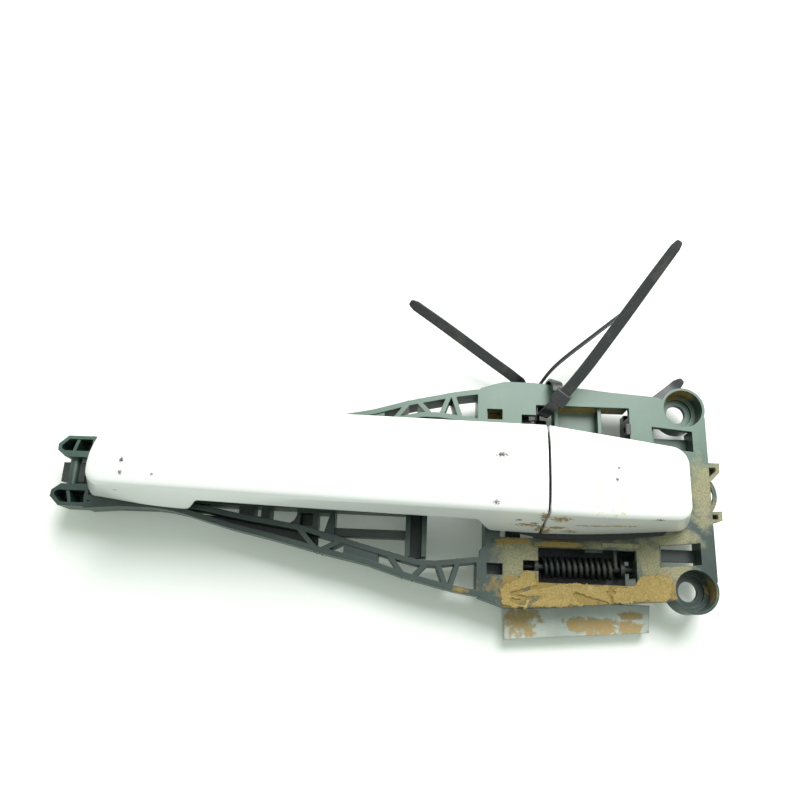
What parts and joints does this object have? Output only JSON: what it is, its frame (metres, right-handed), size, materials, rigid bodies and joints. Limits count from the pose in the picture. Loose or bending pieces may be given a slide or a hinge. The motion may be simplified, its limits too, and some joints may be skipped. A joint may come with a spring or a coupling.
{
  "type": "car door handle",
  "caption": "Painted pull grip and lock cap on a ribbed plastic bracket, with a sprung bell crank and counterweight behind the front plate.",
  "frame": {"origin": "midway between the two bolt bosses, on the front face of the bracket", "axes": "+X along the handle from the hinge end towards the lock cap, +Y across the bracket, +Z out of the door"},
  "size_m": [0.2704, 0.1519, 0.0613],
  "materials": {
    "bracket_plastic": "dark slate green moulded plastic with dust",
    "white_paint": "glossy white paint on plastic, a little stained",
    "black_plastic": "matt black moulded plastic",
    "seal_rubber": "matt black rubber",
    "cast_zinc": "bare die-cast zinc with dried mud; cast_iron stands in for zinc's density",
    "plated_steel": "dull zinc-plated steel",
    "spring_steel": "black phosphated spring wire",
    "tie_nylon": "black nylon with moulded teeth"
  },
  "bodies": {
    "carrier": {"bracket": "bracket_plastic", "front_gasket": "seal_rubber", "rear_gasket": "seal_rubber", "cap_cover": "white_paint", "cap_carrier": "black_plastic", "retaining_screw": "plated_steel", "screw_nut": "plated_steel", "pivot_pin": "plated_steel", "pin_clip": "plated_steel", "return_spring": "spring_steel", "bump_stop": "seal_rubber", "window_clip": "black_plastic", "cable_tie_1": "tie_nylon", "cable_tie_2": "tie_nylon", "cable_tie_3": "tie_nylon", "cable_tie_4": "tie_nylon"},
    "grip": {"grip_cover": "white_paint", "grip_base": "black_plastic", "grip_screws": "plated_steel"},
    "crank": {"bell_crank": "black_plastic", "counterweight": "cast_zinc", "counterweight_rivets": "plated_steel"}
  },
  "joints": [
    {"name": "handle_pull", "type": "hinge", "parent": "carrier", "child": "grip", "pos_m": [-0.251, 0.0012, -0.005], "axis": [0, -1, 0], "range_deg": [0, 7]},
    {"name": "crank_turn", "type": "hinge", "parent": "carrier", "child": "crank", "pos_m": [-0.045, -0.02925, -0.008], "axis": [1, 0, 0], "range_deg": [0, 45], "stiffness_Nm_per_rad": 0.25, "springref_deg": -68.75}
  ],
  "couplings": [
    {"joint": "crank_turn", "follows": "handle_pull", "ratio": 6.4285}
  ]
}
